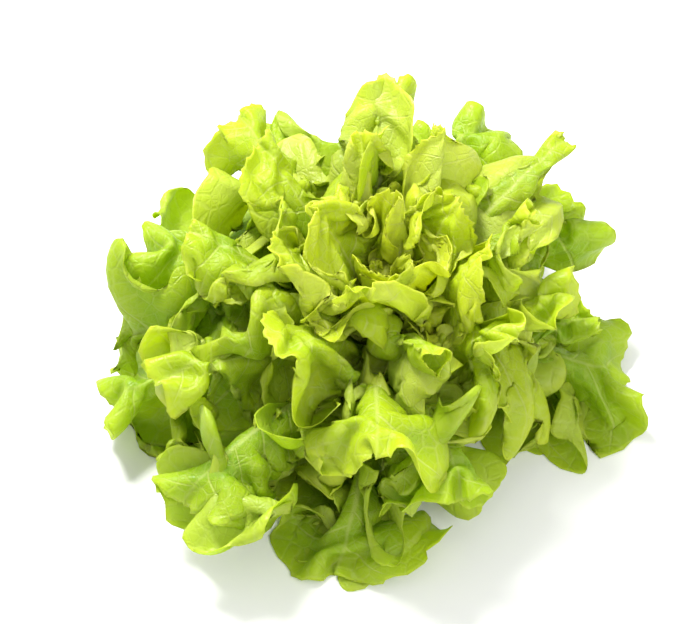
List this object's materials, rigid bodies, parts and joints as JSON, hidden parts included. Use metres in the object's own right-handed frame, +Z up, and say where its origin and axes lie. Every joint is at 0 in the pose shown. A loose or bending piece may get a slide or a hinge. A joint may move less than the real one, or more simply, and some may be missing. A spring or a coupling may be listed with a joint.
{
  "type": "head of lettuce",
  "caption": "Loose-leaf green oak lettuce head, cut at the stem: a short tapering stem carries a spiral of wide lobed leaves that arch outwards.",
  "frame": {"origin": "centre of the stem's flat cut face, on the surface that the head stands on", "axes": "+Z up along the stem; -Y towards the viewer of the picture and +X to the viewer's right"},
  "size_m": [0.2909, 0.2789, 0.1522],
  "materials": {
    "stem": "moist, cut face slightly browned",
    "outer_blade": "satin, translucent, pale veins",
    "heart_blade": "satin, translucent, pale veins"
  },
  "bodies": {
    "root": {"stem_core": "stem", "outer_leaf_01": "outer_blade", "outer_leaf_02": "outer_blade", "outer_leaf_03": "outer_blade", "outer_leaf_04": "outer_blade", "outer_leaf_05": "outer_blade", "outer_leaf_06": "outer_blade", "outer_leaf_07": "outer_blade", "outer_leaf_08": "outer_blade", "outer_leaf_09": "outer_blade", "outer_leaf_10": "outer_blade", "outer_leaf_11": "outer_blade", "outer_leaf_12": "outer_blade", "middle_leaf_01": "outer_blade", "middle_leaf_02": "outer_blade", "middle_leaf_03": "outer_blade", "middle_leaf_04": "outer_blade", "middle_leaf_05": "outer_blade", "middle_leaf_06": "outer_blade", "middle_leaf_07": "outer_blade", "middle_leaf_08": "outer_blade", "middle_leaf_09": "outer_blade", "middle_leaf_10": "outer_blade", "middle_leaf_11": "outer_blade", "middle_leaf_12": "outer_blade", "inner_leaf_01": "heart_blade", "inner_leaf_02": "heart_blade", "inner_leaf_03": "heart_blade", "inner_leaf_04": "heart_blade", "inner_leaf_05": "heart_blade", "inner_leaf_06": "heart_blade", "inner_leaf_07": "heart_blade", "heart_leaf_01": "heart_blade", "heart_leaf_02": "heart_blade", "heart_leaf_03": "heart_blade", "heart_leaf_04": "heart_blade", "heart_leaf_05": "heart_blade"}
  },
  "joints": []
}
